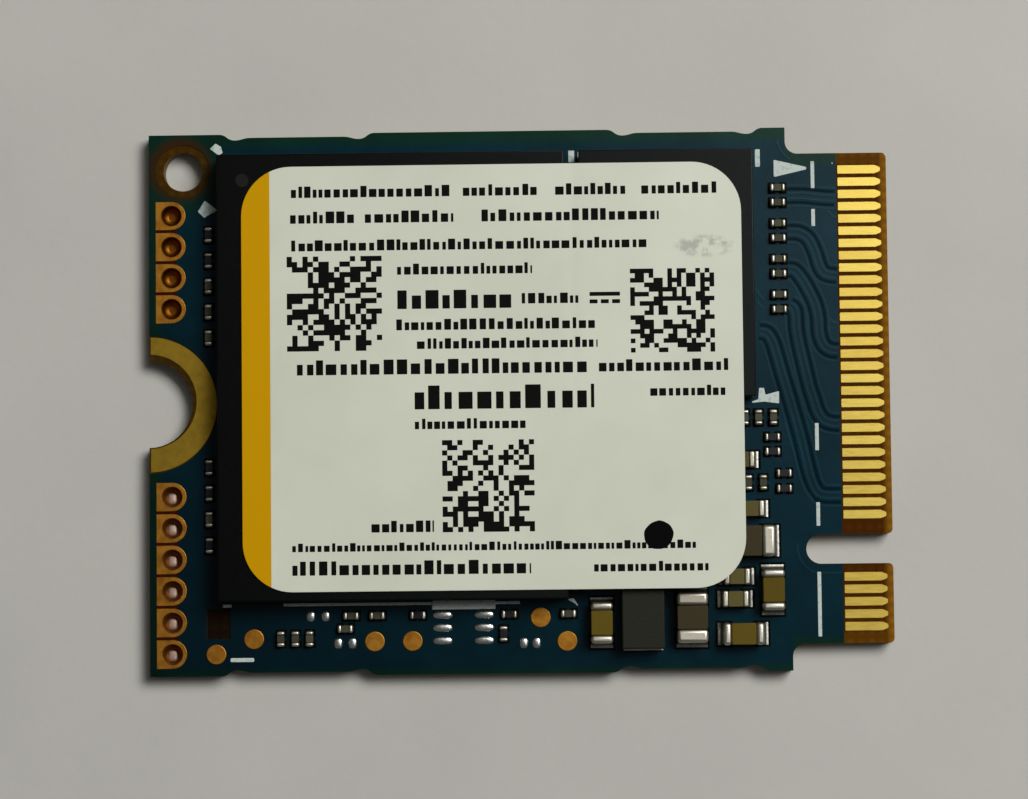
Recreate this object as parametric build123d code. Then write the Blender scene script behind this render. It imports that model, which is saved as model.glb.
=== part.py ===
from build123d import *
import os

# Gumstick solid state drive: a single-sided storage card with a screw notch and a keyed contact edge.
# Millimetres. X runs along the card to its contacts, Y across it, Z up from its bare back face.

# Lengths that add up along X, from the screw end to the contact end
screw_margin = 2.9
flash_length = 14.0
package_gap = 0.6
controller_length = 7.0
lane_strip = 1.4
tongue_length = 4.1

# Widths that add up along Y, from the upper edge down, in the flash column and in the controller column
top_margin = 1.0
flash_width = 18.0
row_drop = 0.62
row_step = 0.52
lower_margin = 1.34
controller_width = 10.0
power_depth = 11.0

# Laminate and its copper; mask openings are as deep as the copper is thick
board_thickness = 0.8
copper_thickness = 0.03
mask_clearance = 0.04

# Screw notch and the half ring of bare copper round it
notch_radius = 1.75
ring_setback = 0.17
ring_width = 0.83

# Contact tongue and its key slot
shoulder_depth = 1.075
shoulder_radius = 0.5
tongue_corner_radius = 0.2
lead_bevel = 0.15
key_offset = 6.125
key_width = 1.2
key_depth = 3.5

# Edge contacts
contact_pitch = 0.5
contact_width = 0.35
contact_length = 1.76
contact_setback = 0.24
contact_point = 0.22
contact_tip_width = 0.14
contact_side_margin = 0.4
contact_key_margin = 0.3

# Stubs of the snapped-off panel tabs
tab_width = 6.35
tab_depth = 0.14
tab_dip_depth = 0.24
tab_dip_run = 0.64
tab_inset = 2.87
tab_shoulder_inset = 0.9

# Tooling hole and the bare laminate round it
tooling_radius = 0.8
tooling_ring = 0.3
tooling_inset_x = 1.4
tooling_inset_y = 1.5

# Column of plated holes with D-shaped lands
land_pitch = 1.27
land_gap = 0.11
land_length = 1.22
land_setback = 0.27
land_hole_radius = 0.4
plating_thickness = 0.05
land_end_gap = 0.32
land_tooling_gap = 0.13

# Sides of the many small round shapes, kept few so that the model stays light
hole_sides = 12
ball_sides = 6

# Round test pads and the patch of bare laminate beside them
test_pad_radius = 0.4
patch_length = 0.95
patch_width = 1.2
patch_drop = 0.3
patch_overhang = 0.6

# Ball grid packages
ball_height = 0.25
ball_radius = 0.22
ball_pitch = 1.0
flash_ball_margin = 1.5
flash_bank_columns = 4
flash_ball_end_margin = 4.0
controller_ball_margin = 0.95
controller_ball_rings = 2
substrate_thickness = 0.25
flash_mold_height = 0.8
controller_mold_height = 0.8
pin_mark_radius = 0.28
pin_mark_depth = 0.04
pin_mark_inset = 1.05

# Paper-thin label across both packages, set in from their outer edges
label_thickness = 0.1
label_corner_radius = 2.0
label_left_margin = 1.0
label_right_margin = 0.5
label_top_margin = 0.55
label_bottom_margin = 0.35

# Chip capacitors, largest to smallest, and chip resistors
large_length = 2.04
large_width = 1.26
large_height = 0.85
large_band = 0.55
medium_length = 1.66
medium_width = 0.9
medium_height = 0.8
medium_band = 0.34
small_length = 1.06
small_width = 0.66
small_height = 0.55
small_band = 0.24
tiny_length = 0.62
tiny_width = 0.32
tiny_height = 0.3
tiny_band = 0.17
resistor_length = 0.62
resistor_width = 0.32
resistor_height = 0.24
resistor_band = 0.16
body_recess = 0.02
fillet_reach = 0.2
fillet_rise = 0.3

# Power inductor on its two bent terminals
inductor_length = 2.4
inductor_width = 1.7
inductor_height = 1.0
inductor_corner = 0.06
terminal_thickness = 0.06
terminal_foot = 0.5
terminal_rise = 0.6

# Voltage regulator under the label
regulator_size = 4.0
regulator_height = 0.75
lead_height = 0.05
lead_length = 0.4
lead_width = 0.28
lead_pitch = 0.8
leads_per_side = 4
heat_pad_size = 2.4

# Solder left on empty pads
bump_length = 0.34
bump_width = 0.24
bar_length = 0.68
bar_width = 0.22
bump_height = 0.12
bump_slope = 0.06

# Series capacitors of the signal lanes
lane_count = 4
lane_start = 1.48
lane_pitch = 1.45
lane_pair_step = 0.6
lane_offset = 1.06

# Column of small parts beside the flash package: r a resistor, c a capacitor, each group from its outer end
column_gap = 0.46
column_pitch = 1.05
column_top_drop = 3.12
column_foot_rise = 2.27
column_upper = "rrccc"
column_lower = "rcrr"

# Parts that lie across the card are turned by this
upright_angle = 90

# Places under the controller, from its lower right corner: along X, along Y, turn
large_places = [(-0.3, -5.78, 0)]
small_places = [(-0.58, -2.5, 0), (-0.22, -4.48, 0)]
tiny_places = [(dx, -0.8, upright_angle) for dx in (-0.4, 0.15, 0.75)]
tiny_places += [(dx, -3.43, upright_angle) for dx in (-0.3, 0.3)]
resistor_places = [(0.7, -1.6, 0), (0.7, -2.18, 0), (1.15, -3.06, 0), (1.15, -3.68, 0)]
regulator_place = (-4.2, -3.9, 0)

# Places along the lower edge: along X from the controller's right side, up from the card's edge, turn
large_edge_places = [(-2.65, 2.18, upright_angle)]
medium_edge_places = [(0.62, 3.25, upright_angle), (-6.28, 2.0, upright_angle), (-0.6, 1.5, 0)]
small_edge_places = [(-0.83, 3.8, 0), (-0.9, 2.9, 0)]
inductor_edge_place = (-4.63, 2.15, upright_angle)

# Drops of the odd parts below the rows under the flash package
upright_drop = 0.38
corner_pad_drop = 0.46
right_pad_drop = 0.14
lower_drop = 0.06
pair_drop = 0.12

# Outline positions worked out from the sizes above
strip_depth = row_drop + 2 * row_step + lower_margin
board_length = screw_margin + flash_length + package_gap + controller_length + lane_strip + tongue_length
board_width = top_margin + max(flash_width + strip_depth, controller_width + power_depth)
left = -board_length / 2
right = board_length / 2
bottom = -board_width / 2
top = board_width / 2
shoulder_x = right - tongue_length
tongue_width = board_width - 2 * shoulder_depth
key_y = -key_offset
ring_inner_radius = notch_radius + ring_setback
ring_outer_radius = ring_inner_radius + ring_width
upper_copper_z = board_thickness - copper_thickness

# Package positions
flash_left = left + screw_margin
flash_right = flash_left + flash_length
flash_top = top - top_margin
flash_bottom = flash_top - flash_width
flash_x = (flash_left + flash_right) / 2
flash_y = (flash_top + flash_bottom) / 2
controller_left = flash_right + package_gap
controller_right = controller_left + controller_length
controller_bottom = flash_top - controller_width
controller_x = (controller_left + controller_right) / 2
controller_y = flash_top - controller_width / 2
substrate_z = board_thickness + ball_height
mold_z = substrate_z + substrate_thickness
label_z = mold_z + max(flash_mold_height, controller_mold_height)
label_left = flash_left + label_left_margin
label_right = controller_right - label_right_margin
label_top = flash_top - label_top_margin
label_bottom = flash_bottom + label_bottom_margin

# Rows of small parts below the flash package
row_a = flash_bottom - row_drop
row_b = row_a - row_step
row_c = row_b - row_step

# Places in those rows: share of the flash package's length, place across the card, turn
test_pad_row = [(-0.016, row_c - corner_pad_drop, 0), (0.093, row_b - upright_drop, 0)]
test_pad_row += [(0.441, row_c, 0), (0.55, row_c, 0)]
test_pad_row += [(0.919, row_a - right_pad_drop, 0), (0.995, row_c - lower_drop, 0)]
tiny_row = [(share, row_b - upright_drop, upright_angle) for share in (0.171, 0.213, 0.254)]
tiny_row += [(share, row_a, 0) for share in (0.374, 0.449, 0.999)]
tiny_row += [(0.357, row_b, 0)]
resistor_row = [(0.566, row_a, 0), (0.829, row_a, 0), (0.812, (row_b + row_c) / 2, upright_angle)]
bump_row = [(share, row_a, upright_angle) for share in (0.257, 0.3)]
bump_row += [(share, row_c - lower_drop, upright_angle) for share in (0.336, 0.377)]
bump_row += [(share, row_c - pair_drop, upright_angle) for share in (0.87, 0.907)]
bar_row = [(share, y, 0) for share in (0.637, 0.757) for y in (row_a, row_b, row_c)]

# Plated holes: the upper group starts under the tooling hole, the lower group ends at the lower edge
tooling_x = left + tooling_inset_x
tooling_y = top - tooling_inset_y
tooling_ring_radius = tooling_radius + tooling_ring
land_width = land_pitch - land_gap
land_left = left + land_setback
land_hole_x = land_left + land_length - land_width / 2
upper_land_top = tooling_y - tooling_ring_radius - land_tooling_gap
lower_land_foot = bottom + land_end_gap
upper_land_count = int((upper_land_top - ring_outer_radius + land_gap) / land_pitch)
lower_land_count = int((-ring_outer_radius - lower_land_foot + land_gap) / land_pitch)

STANDING = (Align.CENTER, Align.CENTER, Align.MIN)
same_place = 1e-6


def block(x, y, z, length, width, height):
    """A box centred on x and y that stands on z."""
    return Pos(x, y, z) * Box(length, width, height, align=STANDING)


def disc(x, y, z, radius, height):
    """A round plate centred on x and y that stands on z."""
    return Pos(x, y, z) * Cylinder(radius, height, align=STANDING)


def small_disc(x, y, z, radius, height):
    """A small round plate with few sides, centred on x and y, that stands on z."""
    return Pos(x, y, z) * extrude(RegularPolygon(radius, hole_sides), height)


def save(node, solids):
    """Write one node, which may be a group of like solids."""
    shape = solids[0] if len(solids) == 1 else Compound(solids)
    export_step(shape, f"parts/{node}.step")


def step_arcs(a, b):
    """A smooth step between two points of an edge: two arcs that leave a and reach b along X."""
    middle = ((a[0] + b[0]) / 2, (a[1] + b[1]) / 2)
    leaving = TangentArc(a, middle, tangent=(1, 0))
    arriving = TangentArc(middle, b, tangent=leaving % 1)
    return [leaving, arriving]


def edge_with_tabs(y, inward):
    """One long edge of the card, from the screw end to the shoulder, with its two tab stubs."""
    curves = []
    start = (left, y)
    for tab_left in (left + tab_inset, shoulder_x - tab_shoulder_inset - tab_width):
        tab_right = tab_left + tab_width
        stations = [
            (tab_left, 0),
            (tab_left + tab_dip_run, tab_dip_depth),
            (tab_left + 2 * tab_dip_run, tab_depth),
            (tab_right - 2 * tab_dip_run, tab_depth),
            (tab_right - tab_dip_run, tab_dip_depth),
            (tab_right, 0),
        ]
        points = [(x, y + inward * depth) for x, depth in stations]
        curves.append(Line(start, points[0]))
        for a, b in zip(points, points[1:]):
            curves += [Line(a, b)] if a[1] == b[1] else step_arcs(a, b)
        start = points[-1]
    curves.append(Line(start, (shoulder_x, y)))
    return curves


def near(a, b):
    """Whether two places are the same but for rounding."""
    return abs(a - b) < same_place


def card_outline():
    """The routed outline with its shoulders, tongue, key slot and screw notch."""
    half_tongue = tongue_width / 2
    tongue = Polyline(
        (shoulder_x, bottom),
        (shoulder_x, -half_tongue),
        (right, -half_tongue),
        (right, half_tongue),
        (shoulder_x, half_tongue),
        (shoulder_x, top),
    )
    screw_end = Line((left, bottom), (left, top))
    face = make_face(edge_with_tabs(bottom, 1) + edge_with_tabs(top, -1) + tongue.edges() + [screw_end])
    key_end_x = right - key_depth + key_width / 2
    key = Pos(key_end_x, key_y) * Circle(key_width / 2)
    key += Pos((key_end_x + right) / 2, key_y) * Rectangle(right - key_end_x, key_width)
    face = face - key - Pos(left, 0) * Circle(notch_radius)
    inner_corners = [v for v in face.vertices() if near(v.X, shoulder_x) and near(abs(v.Y), half_tongue)]
    face = fillet(inner_corners, shoulder_radius)
    tongue_corners = [v for v in face.vertices() if near(v.X, right)]
    return fillet(tongue_corners, tongue_corner_radius)


def land_centres():
    """Heights across the card of the plated holes, upper group first."""
    upper = [upper_land_top - land_width / 2 - i * land_pitch for i in range(upper_land_count)]
    lower = [lower_land_foot + land_width / 2 + i * land_pitch for i in range(lower_land_count)]
    return upper, lower


def make_board():
    """Laminate under its solder mask: one plate with shallow openings where the mask is left off."""
    board = extrude(card_outline(), board_thickness)
    upper, lower = land_centres()
    board -= disc(tooling_x, tooling_y, 0, tooling_radius, board_thickness)
    for y in upper + lower:
        board -= small_disc(land_hole_x, y, 0, land_hole_radius + plating_thickness, board_thickness)
    window_length = contact_length + contact_setback + mask_clearance
    window_x = right - window_length / 2
    for z in (0, upper_copper_z):
        board -= block(window_x, 0, z, window_length, board_width, copper_thickness)
        board -= disc(left, 0, z, ring_outer_radius + mask_clearance, copper_thickness)
        board -= disc(tooling_x, tooling_y, z, tooling_ring_radius, copper_thickness)
    for group in (upper, lower):
        strip_width = (len(group) - 1) * land_pitch + land_width + 2 * mask_clearance
        strip_length = land_length + 2 * mask_clearance
        strip_y = (group[0] + group[-1]) / 2
        board -= block(land_left + land_length / 2, strip_y, 0, strip_length, strip_width, copper_thickness)
    patch_x = flash_left - patch_overhang + patch_length / 2
    patch_y = flash_bottom - patch_drop - patch_width / 2
    board -= block(patch_x, patch_y, upper_copper_z, patch_length, patch_width, copper_thickness)
    for z, rise in ((0, lead_bevel), (board_thickness, -lead_bevel)):
        wedge = make_face(Polyline((right - lead_bevel, z), (right, z), (right, z + rise), close=True))
        board -= Pos(0, board_width / 2, 0) * Rot(90, 0, 0) * extrude(wedge, board_width)
    return board


def make_contact(y, z):
    """One gold finger: square at the mask, drawn to a blunt point at the card's end."""
    tip = right - contact_setback
    neck = tip - contact_point
    heel = tip - contact_length
    half = contact_width / 2
    half_tip = contact_tip_width / 2
    outline = Polyline(
        (heel, y - half),
        (neck, y - half),
        (tip, y - half_tip),
        (tip, y + half_tip),
        (neck, y + half),
        (heel, y + half),
        close=True,
    )
    return Pos(0, 0, z) * extrude(make_face(outline), copper_thickness)


def contact_row(phase, z):
    """A row of fingers at the contact pitch, left out at the key slot and at the tongue's sides."""
    reach = tongue_width / 2 - contact_side_margin - contact_width / 2
    keep_out = key_width / 2 + contact_key_margin + contact_width / 2
    count = int(tongue_width / contact_pitch)
    heights = [(i + phase) * contact_pitch for i in range(-count, count)]
    return [make_contact(y, z) for y in heights if abs(y) <= reach and abs(y - key_y) > keep_out]


def make_screw_ring(z):
    """The bare half ring that the screw head clamps."""
    ring = Circle(ring_outer_radius) - Circle(ring_inner_radius)
    span = 2 * ring_outer_radius
    ring -= Pos(ring_setback - ring_outer_radius, 0) * Rectangle(span, span)
    return Pos(left, 0, z) * extrude(ring, copper_thickness)


def make_plated_hole(y):
    """A plated barrel with a D-shaped land on each face."""
    square_length = land_hole_x - land_left
    land = Pos(land_hole_x, y) * RegularPolygon(land_width / 2, hole_sides)
    land += Pos(land_left + square_length / 2, y) * Rectangle(square_length, land_width)
    plate = extrude(land, copper_thickness)
    barrel = small_disc(land_hole_x, y, 0, land_hole_radius + plating_thickness, board_thickness)
    solid = barrel + plate + Pos(0, 0, board_thickness) * plate
    return solid - small_disc(land_hole_x, y, 0, land_hole_radius, board_thickness + copper_thickness)


def make_balls(spots):
    """Reflowed solder joints of a ball grid, drawn as posts with few sides."""
    ball = extrude(RegularPolygon(ball_radius, ball_sides), ball_height)
    return [Pos(x, y, board_thickness) * ball for x, y in spots]


def grid(length, width):
    """Evenly pitched ball places, centred, as (columns from the nearer side, rings from the rim, x, y)."""
    columns = int(length / ball_pitch) + 1
    lines = int(width / ball_pitch) + 1
    places = []
    for i in range(columns):
        for j in range(lines):
            x = (i - (columns - 1) / 2) * ball_pitch
            y = (j - (lines - 1) / 2) * ball_pitch
            column = min(i, columns - 1 - i)
            ring = min(column, j, lines - 1 - j)
            places.append((column, ring, x, y))
    return places


def flash_ball_spots():
    """Two banks of columns, one along each long side of the flash package."""
    places = grid(flash_length - 2 * flash_ball_margin, flash_width - 2 * flash_ball_end_margin)
    return [(flash_x + x, flash_y + y) for column, ring, x, y in places if column < flash_bank_columns]


def controller_ball_spots():
    """Rings of balls round the rim of the controller package."""
    both_margins = 2 * controller_ball_margin
    places = grid(controller_length - both_margins, controller_width - both_margins)
    rim = [(x, y) for column, ring, x, y in places if ring < controller_ball_rings]
    return [(controller_x + x, controller_y + y) for x, y in rim]


def make_flash_mold():
    """Moulded cap of the flash package with the round pin mark in its corner."""
    mold = block(flash_x, flash_y, mold_z, flash_length, flash_width, flash_mold_height)
    mark_z = mold_z + flash_mold_height - pin_mark_depth
    mark_x = flash_left + pin_mark_inset
    mark_y = flash_top - pin_mark_inset
    return mold - disc(mark_x, mark_y, mark_z, pin_mark_radius, pin_mark_depth)


def make_label():
    """One sheet with round corners, stuck across both packages."""
    sheet = RectangleRounded(label_right - label_left, label_top - label_bottom, label_corner_radius)
    middle = Pos((label_left + label_right) / 2, (label_top + label_bottom) / 2, label_z)
    return middle * extrude(sheet, label_thickness)


def chip(length, width, height, band):
    """A chip part along X at the origin: its body, then its two plated ends."""
    body_length = length - 2 * band
    body = block(0, 0, body_recess, body_length, width - 2 * body_recess, height - 2 * body_recess)
    end_x = (length - band) / 2
    return body, [block(sign * end_x, 0, 0, band, width, height) for sign in (-1, 1)]


def chip_fillets(length, width, height):
    """The two wedges of solder at the ends of a chip part along X at the origin."""
    end = length / 2
    wedge = make_face(Polyline((end, 0), (end + fillet_reach, 0), (end, height * fillet_rise), close=True))
    solder = Pos(0, width / 2, 0) * Rot(90, 0, 0) * extrude(wedge, width)
    return [solder, Rot(0, 0, 180) * solder]


def place(solids, spots):
    """Copies of the solids on the card at each (x, y, turn)."""
    seats = [Pos(x, y, board_thickness) * Rot(0, 0, turn) for x, y, turn in spots]
    return [seat * solid for seat in seats for solid in solids]


def below_controller(places):
    """Places given from the controller's lower right corner."""
    return [(controller_right + dx, controller_bottom + dy, turn) for dx, dy, turn in places]


def above_edge(places):
    """Places given from the controller's right side and the card's lower edge."""
    return [(controller_right + dx, bottom + rise, turn) for dx, rise, turn in places]


def below_flash(places):
    """Places given by their share of the flash package's length."""
    return [(flash_left + share * flash_length, y, turn) for share, y, turn in places]


def column_spots(kind):
    """Places beside the flash package that hold this kind of part."""
    x = flash_left - column_gap
    head = flash_top - column_top_drop
    foot = flash_bottom + column_foot_rise
    column = [(head - i * column_pitch, part) for i, part in enumerate(column_upper)]
    column += [(foot + i * column_pitch, part) for i, part in enumerate(column_lower)]
    return [(x, y, upright_angle) for y, part in column if part == kind]


def lane_spots():
    """Pairs of series capacitors, one pair for each signal lane."""
    spots = []
    for lane in range(lane_count):
        y = flash_top - lane_start - lane * lane_pitch
        spots += [(controller_right + lane_offset, y - i * lane_pair_step, 0) for i in range(2)]
    return spots


def make_inductor():
    """The moulded core and its two terminals, bent up the ends, along X at the origin."""
    core_height = inductor_height - terminal_thickness
    core = block(0, 0, terminal_thickness, inductor_length, inductor_width, core_height)
    upper_edges = core.faces().sort_by(Axis.Z)[-1].edges()
    core = chamfer(upper_edges + core.edges().filter_by(Axis.Z), inductor_corner)
    end = inductor_length / 2
    profile = Polyline(
        (end - terminal_foot, 0),
        (end + terminal_thickness, 0),
        (end + terminal_thickness, terminal_rise),
        (end, terminal_rise),
        (end, terminal_thickness),
        (end - terminal_foot, terminal_thickness),
        close=True,
    )
    strap_width = inductor_width - 2 * inductor_corner
    terminal = Pos(0, strap_width / 2, 0) * Rot(90, 0, 0) * extrude(make_face(profile), strap_width)
    return core, [terminal, Rot(0, 0, 180) * terminal]


def make_regulator():
    """A leadless chip at the origin on its rim leads and heat pad."""
    body = block(0, 0, lead_height, regulator_size, regulator_size, regulator_height)
    leads = [block(0, 0, 0, heat_pad_size, heat_pad_size, lead_height)]
    lead_x = (regulator_size - lead_length) / 2
    for side in range(4):
        for i in range(leads_per_side):
            y = (i - (leads_per_side - 1) / 2) * lead_pitch
            leads.append(Rot(0, 0, 90 * side) * block(lead_x, y, 0, lead_length, lead_width, lead_height))
    return body, leads


def bump(length, width):
    """Solder on an empty pad: a low block with sloped upper edges."""
    blank = block(0, 0, 0, length, width, bump_height)
    return chamfer(blank.faces().sort_by(Axis.Z)[-1].edges(), bump_slope)


os.makedirs("parts", exist_ok=True)

# Card and its copper
save("circuit_board", [make_board()])
save("edge_contacts_top", contact_row(0.5, upper_copper_z))
save("edge_contacts_bottom", contact_row(0, 0))
save("screw_ring_top", [make_screw_ring(upper_copper_z)])
save("screw_ring_bottom", [make_screw_ring(0)])
upper_lands, lower_lands = land_centres()
save("plated_holes", [make_plated_hole(y) for y in upper_lands + lower_lands])
test_pad = small_disc(0, 0, 0, test_pad_radius, copper_thickness)
save("test_pads", place([test_pad], below_flash(test_pad_row)))

# Flash package
flash_size = (flash_length, flash_width)
save("flash_solder_balls", make_balls(flash_ball_spots()))
save("flash_substrate", [block(flash_x, flash_y, substrate_z, *flash_size, substrate_thickness)])
save("flash_mold_cap", [make_flash_mold()])

# Controller package, and the label across both
controller_size = (controller_length, controller_width)
controller_base = block(controller_x, controller_y, substrate_z, *controller_size, substrate_thickness)
controller_mold = block(controller_x, controller_y, mold_z, *controller_size, controller_mold_height)
save("controller_solder_balls", make_balls(controller_ball_spots()))
save("controller_substrate", [controller_base])
save("controller_mold_cap", [controller_mold])
save("label", [make_label()])

# Chip capacitors that carry fillets: size, then places, named for the nodes they make
large_spots = below_controller(large_places) + above_edge(large_edge_places)
medium_spots = above_edge(medium_edge_places)
small_spots = below_controller(small_places) + above_edge(small_edge_places)
capacitors = {
    "large_capacitor": ((large_length, large_width, large_height, large_band), large_spots),
    "medium_capacitor": ((medium_length, medium_width, medium_height, medium_band), medium_spots),
    "small_capacitor": ((small_length, small_width, small_height, small_band), small_spots),
}
fillets = []
for node, (size, spots) in capacitors.items():
    body, ends = chip(*size)
    save(f"{node}_bodies", place([body], spots))
    save(f"{node}_ends", place(ends, spots))
    fillets += place(chip_fillets(*size[:3]), spots)
save("solder_fillets", fillets)

# Tiny capacitors and resistors
tiny_spots = lane_spots() + column_spots("c")
tiny_spots += below_controller(tiny_places) + below_flash(tiny_row)
body, ends = chip(tiny_length, tiny_width, tiny_height, tiny_band)
save("tiny_capacitor_bodies", place([body], tiny_spots))
save("tiny_capacitor_ends", place(ends, tiny_spots))
resistor_spots = column_spots("r")
resistor_spots += below_controller(resistor_places) + below_flash(resistor_row)
body, ends = chip(resistor_length, resistor_width, resistor_height, resistor_band)
save("resistor_bodies", place([body], resistor_spots))
save("resistor_ends", place(ends, resistor_spots))

# Power parts: the inductor at the lower edge and the regulator it serves
core, terminals = make_inductor()
inductor_spot = above_edge([inductor_edge_place])
save("inductor_core", place([core], inductor_spot))
save("inductor_terminals", place(terminals, inductor_spot))
body, leads = make_regulator()
regulator_spot = below_controller([regulator_place])
save("regulator_chip", place([body], regulator_spot))
save("regulator_leads", place(leads, regulator_spot))

# Empty pads that only carry solder: single pads, then the two rows of an unused six-pad place
bumps = place([bump(bump_length, bump_width)], below_flash(bump_row))
bumps += place([bump(bar_length, bar_width)], below_flash(bar_row))
save("solder_bumps", bumps)
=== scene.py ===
import math
import random
from functools import partial

import bmesh
import bpy
from mathutils import Matrix, Vector


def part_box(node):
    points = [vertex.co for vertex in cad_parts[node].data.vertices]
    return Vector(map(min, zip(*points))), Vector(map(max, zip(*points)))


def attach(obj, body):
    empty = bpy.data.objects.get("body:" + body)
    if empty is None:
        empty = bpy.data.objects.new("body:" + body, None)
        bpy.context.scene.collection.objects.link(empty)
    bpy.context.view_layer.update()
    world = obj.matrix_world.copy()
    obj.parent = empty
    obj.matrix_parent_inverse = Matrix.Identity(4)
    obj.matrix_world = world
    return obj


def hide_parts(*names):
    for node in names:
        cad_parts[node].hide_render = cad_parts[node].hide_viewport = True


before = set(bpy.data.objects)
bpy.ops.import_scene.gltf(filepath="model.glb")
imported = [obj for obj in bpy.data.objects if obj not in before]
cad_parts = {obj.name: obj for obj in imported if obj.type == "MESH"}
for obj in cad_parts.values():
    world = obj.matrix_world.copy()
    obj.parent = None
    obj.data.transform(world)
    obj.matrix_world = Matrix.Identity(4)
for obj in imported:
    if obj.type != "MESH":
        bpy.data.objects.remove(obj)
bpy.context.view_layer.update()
bpy.context.scene.view_settings.view_transform = "Standard"

# Circuit board: a routed plate of woven glass and epoxy, 0.8 mm thick, with copper inside and a dark
# blue solder mask on both faces. The mask is left open round the contacts, the screw notch, the
# tooling hole and the plated holes, where the amber laminate shows.
mm = 0.001
mask_over_copper = "03212A"
mask_over_glass = "07261D"
laminate_amber = "6F480A"
laminate_brown = "402000"
laminate_umber = "3C2504"
laminate_shade = "33240A"
laminate_rim = "2F1C08"
laminate_dark = "150C05"
routed_glass = "7A6A3C"
inner_copper = "5E4424"
board_low, board_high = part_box("circuit_board")
half_length, half_card, board_top = board_high
half_tongue = 9.925 * mm
shoulder_x = 10.9 * mm
pour_start = 0.27 * mm
pour_full = 0.72 * mm
near_rim_less = 0.25 * mm
tooling_radius = 0.8 * mm
# The rim centre lies north-west of the tooling hole, so the rim turns to its darker outer tones sooner on the
# east side: partly an off-centre ring, partly painted shade of the hole wall and the flash package.
rim_centre = (-13.72 * mm, 9.58 * mm, board_top)
notch_axis = (board_low.x, 0.0, board_top / 2)
notch_rim_reach = 2.06 * mm
rim_blur = 0.04 * mm
finger_row_side = 9.4 * mm
finger_row_end = 14.6 * mm
copper_corner_y = -4 * mm
touching = 1e-6
weld_reach = 1e-7


def linear(code):
    """A six-figure sRGB colour as the linear numbers that shaders read."""
    parts = [int(code[i : i + 2], 16) / 255 for i in (0, 2, 4)]
    return [p / 12.92 if p <= 0.04045 else ((p + 0.055) / 1.055) ** 2.4 for p in parts] + [1.0]


def grain(size_mm):
    """The noise scale whose features are this many millimetres wide on metre coordinates."""
    return 1 / (size_mm * mm)


def bands(pitch_mm):
    """The wave scale whose bands are this many millimetres apart; a wave turns 20 radians in a unit."""
    return grain(pitch_mm) * math.tau / 20


def feed(node, *inputs, **named):
    """Set a node's inputs, in order or by name, each to a value or to another node's output."""
    usable = [socket for socket in node.inputs if socket.enabled]
    sockets = list(zip(usable, inputs))
    sockets += [(node.inputs[name.replace("_", " ")], value) for name, value in named.items()]
    for socket, value in sockets:
        if isinstance(value, bpy.types.NodeSocket):
            node.id_data.links.new(value, socket)
        else:
            socket.default_value = value


def add_node(tree, kind, *inputs, **named):
    """Add one node, a shader node unless its kind says more; lower-case names are its settings."""
    node = tree.nodes.new(kind if "Node" in kind else "ShaderNode" + kind)
    for name in filter(str.islower, list(named)):
        setattr(node, name, named.pop(name))
    feed(node, *inputs, **named)
    return next(output for output in node.outputs if output.enabled)


def new_finish(name, **sockets):
    """A material, the call that puts a node in it, its shader with constants set, and Object coordinates."""
    material = bpy.data.materials.new(name)
    material.use_nodes = True
    put = partial(add_node, material.node_tree)
    shader = material.node_tree.nodes["Principled BSDF"]
    feed(shader, **sockets)
    return material, put, shader, put("TexCoord").node.outputs["Object"]


def lay_over(put, shader, share, code):
    """Cover a finish with another colour where the share is high."""
    below = shader.inputs["Base Color"].links[0].from_socket
    feed(shader, Base_Color=put("Mix", share, below, linear(code), data_type="RGBA"))


def roughen(put, shader, fleck, dent=None, matt=None):
    """Let a pattern dent a finish, by (strength, depth in millimetres), and vary its roughness in a range."""
    if dent:
        feed(shader, Normal=put("Bump", Height=fleck, Strength=dent[0], Distance=dent[1] * mm))
    if matt:
        feed(shader, Roughness=put("MapRange", fleck, 0.3, 0.7, *matt))
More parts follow.
